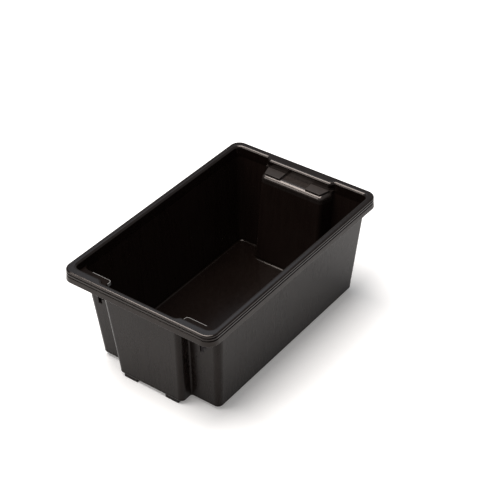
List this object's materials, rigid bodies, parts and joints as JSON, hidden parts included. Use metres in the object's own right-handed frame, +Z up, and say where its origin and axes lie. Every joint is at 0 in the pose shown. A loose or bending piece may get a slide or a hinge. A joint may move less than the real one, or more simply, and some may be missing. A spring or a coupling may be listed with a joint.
{
  "type": "stacking crate",
  "caption": "Open-topped moulded plastic crate, drafted walls, hollow flanged rim, bulging front panel, set-in rear panel; stacks turned half a turn, nests the same way round",
  "frame": {"origin": "centre of the crate's plan on the plane its feet stand on", "axes": "+X along the length to the rear (set-in) end, +Y to the left as seen facing the front end, +Z up"},
  "size_m": [0.6518, 0.4144, 0.276],
  "materials": {
    "crate_plastic": "black polypropylene, satin, lightly scuffed"
  },
  "bodies": {
    "root": {"floor_pan": "crate_plastic", "front_left_column": "crate_plastic", "front_left_foot": "crate_plastic", "front_left_ledge": "crate_plastic", "front_panel": "crate_plastic", "front_right_column": "crate_plastic", "front_right_foot": "crate_plastic", "front_right_ledge": "crate_plastic", "left_side_wall": "crate_plastic", "rear_left_column": "crate_plastic", "rear_left_foot": "crate_plastic", "rear_left_pad": "crate_plastic", "rear_panel": "crate_plastic", "rear_right_column": "crate_plastic", "rear_right_foot": "crate_plastic", "rear_right_pad": "crate_plastic", "rear_shelf": "crate_plastic", "right_side_wall": "crate_plastic", "rim_front": "crate_plastic", "rim_left": "crate_plastic", "rim_rear": "crate_plastic", "rim_right": "crate_plastic", "skirt_front": "crate_plastic", "skirt_left": "crate_plastic", "skirt_rear": "crate_plastic", "skirt_right": "crate_plastic"}
  },
  "joints": []
}
